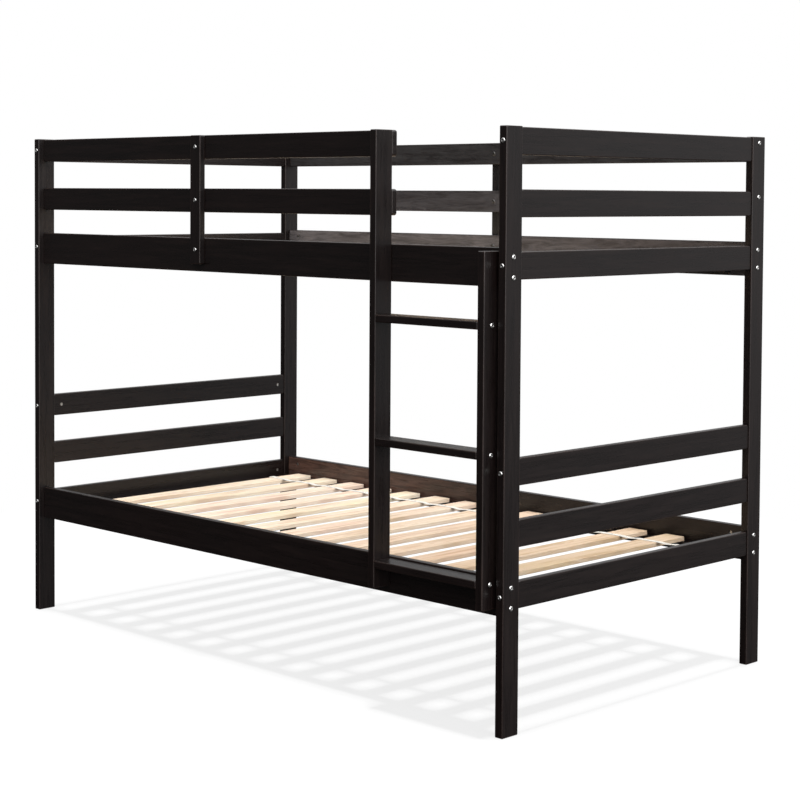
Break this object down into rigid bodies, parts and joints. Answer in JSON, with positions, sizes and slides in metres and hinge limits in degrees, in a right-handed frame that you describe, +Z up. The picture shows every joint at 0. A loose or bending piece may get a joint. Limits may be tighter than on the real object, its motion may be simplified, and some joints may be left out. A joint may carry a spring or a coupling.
{
  "type": "bunk bed",
  "caption": "Two-tier bunk bed of dark-stained planed boards on flat posts, with barred bed ends, guard rails, a fixed flat-step ladder at the front and slatted decks for twin mattresses.",
  "frame": {"origin": "on the floor, under the middle of the assembled bed's outline, ladder and bolt heads included", "axes": "+X along the bed towards the end with the ladder, +Y towards the wall side away from the ladder, +Z up"},
  "size_m": [1.984, 1.1334, 1.486],
  "materials": {
    "dark_wood": "espresso stain under satin lacquer",
    "pine": "planed bare pine",
    "webbing": "plain woven polyester webbing",
    "bolt_steel": "bright zinc plated",
    "steel": "zinc plated",
    "birch": "plain turned dowel"
  },
  "bodies": {
    "root": {"post_front_left": "dark_wood", "post_front_right": "dark_wood", "post_back_left": "dark_wood", "post_back_right": "dark_wood", "left_lower_bed_end_board": "dark_wood", "left_lower_middle_board": "dark_wood", "left_lower_top_board": "dark_wood", "left_upper_bed_end_board": "dark_wood", "left_upper_middle_board": "dark_wood", "left_upper_top_board": "dark_wood", "right_lower_bed_end_board": "dark_wood", "right_lower_middle_board": "dark_wood", "right_lower_top_board": "dark_wood", "right_upper_bed_end_board": "dark_wood", "right_upper_middle_board": "dark_wood", "right_upper_top_board": "dark_wood", "lower_front_side_rail": "dark_wood", "lower_back_side_rail": "dark_wood", "upper_front_side_rail": "dark_wood", "upper_back_side_rail": "dark_wood", "lower_front_ledger": "dark_wood", "lower_back_ledger": "dark_wood", "upper_front_ledger": "dark_wood", "upper_back_ledger": "dark_wood", "front_guard_rail_middle": "dark_wood", "front_guard_rail_top": "dark_wood", "back_guard_rail_middle": "dark_wood", "back_guard_rail_top": "dark_wood", "front_guard_support": "dark_wood", "back_guard_support": "dark_wood", "ladder_left_upright": "dark_wood", "ladder_right_upright": "dark_wood", "ladder_lower_step": "dark_wood", "ladder_middle_step": "dark_wood", "ladder_upper_step": "dark_wood", "lower_slat_01": "pine", "lower_slat_02": "pine", "lower_slat_03": "pine", "lower_slat_04": "pine", "lower_slat_05": "pine", "lower_slat_06": "pine", "lower_slat_07": "pine", "lower_slat_08": "pine", "lower_slat_09": "pine", "lower_slat_10": "pine", "lower_slat_11": "pine", "lower_slat_12": "pine", "lower_slat_13": "pine", "lower_slat_14": "pine", "upper_slats": "pine", "lower_straps": "webbing", "upper_straps": "webbing", "strap_staples": "steel", "side_rail_bolts": "bolt_steel", "end_board_bolts": "bolt_steel", "guard_bolts": "bolt_steel", "ladder_bolts": "bolt_steel", "barrel_nuts": "steel", "wood_dowels": "birch", "ledger_screws": "steel"}
  },
  "joints": []
}
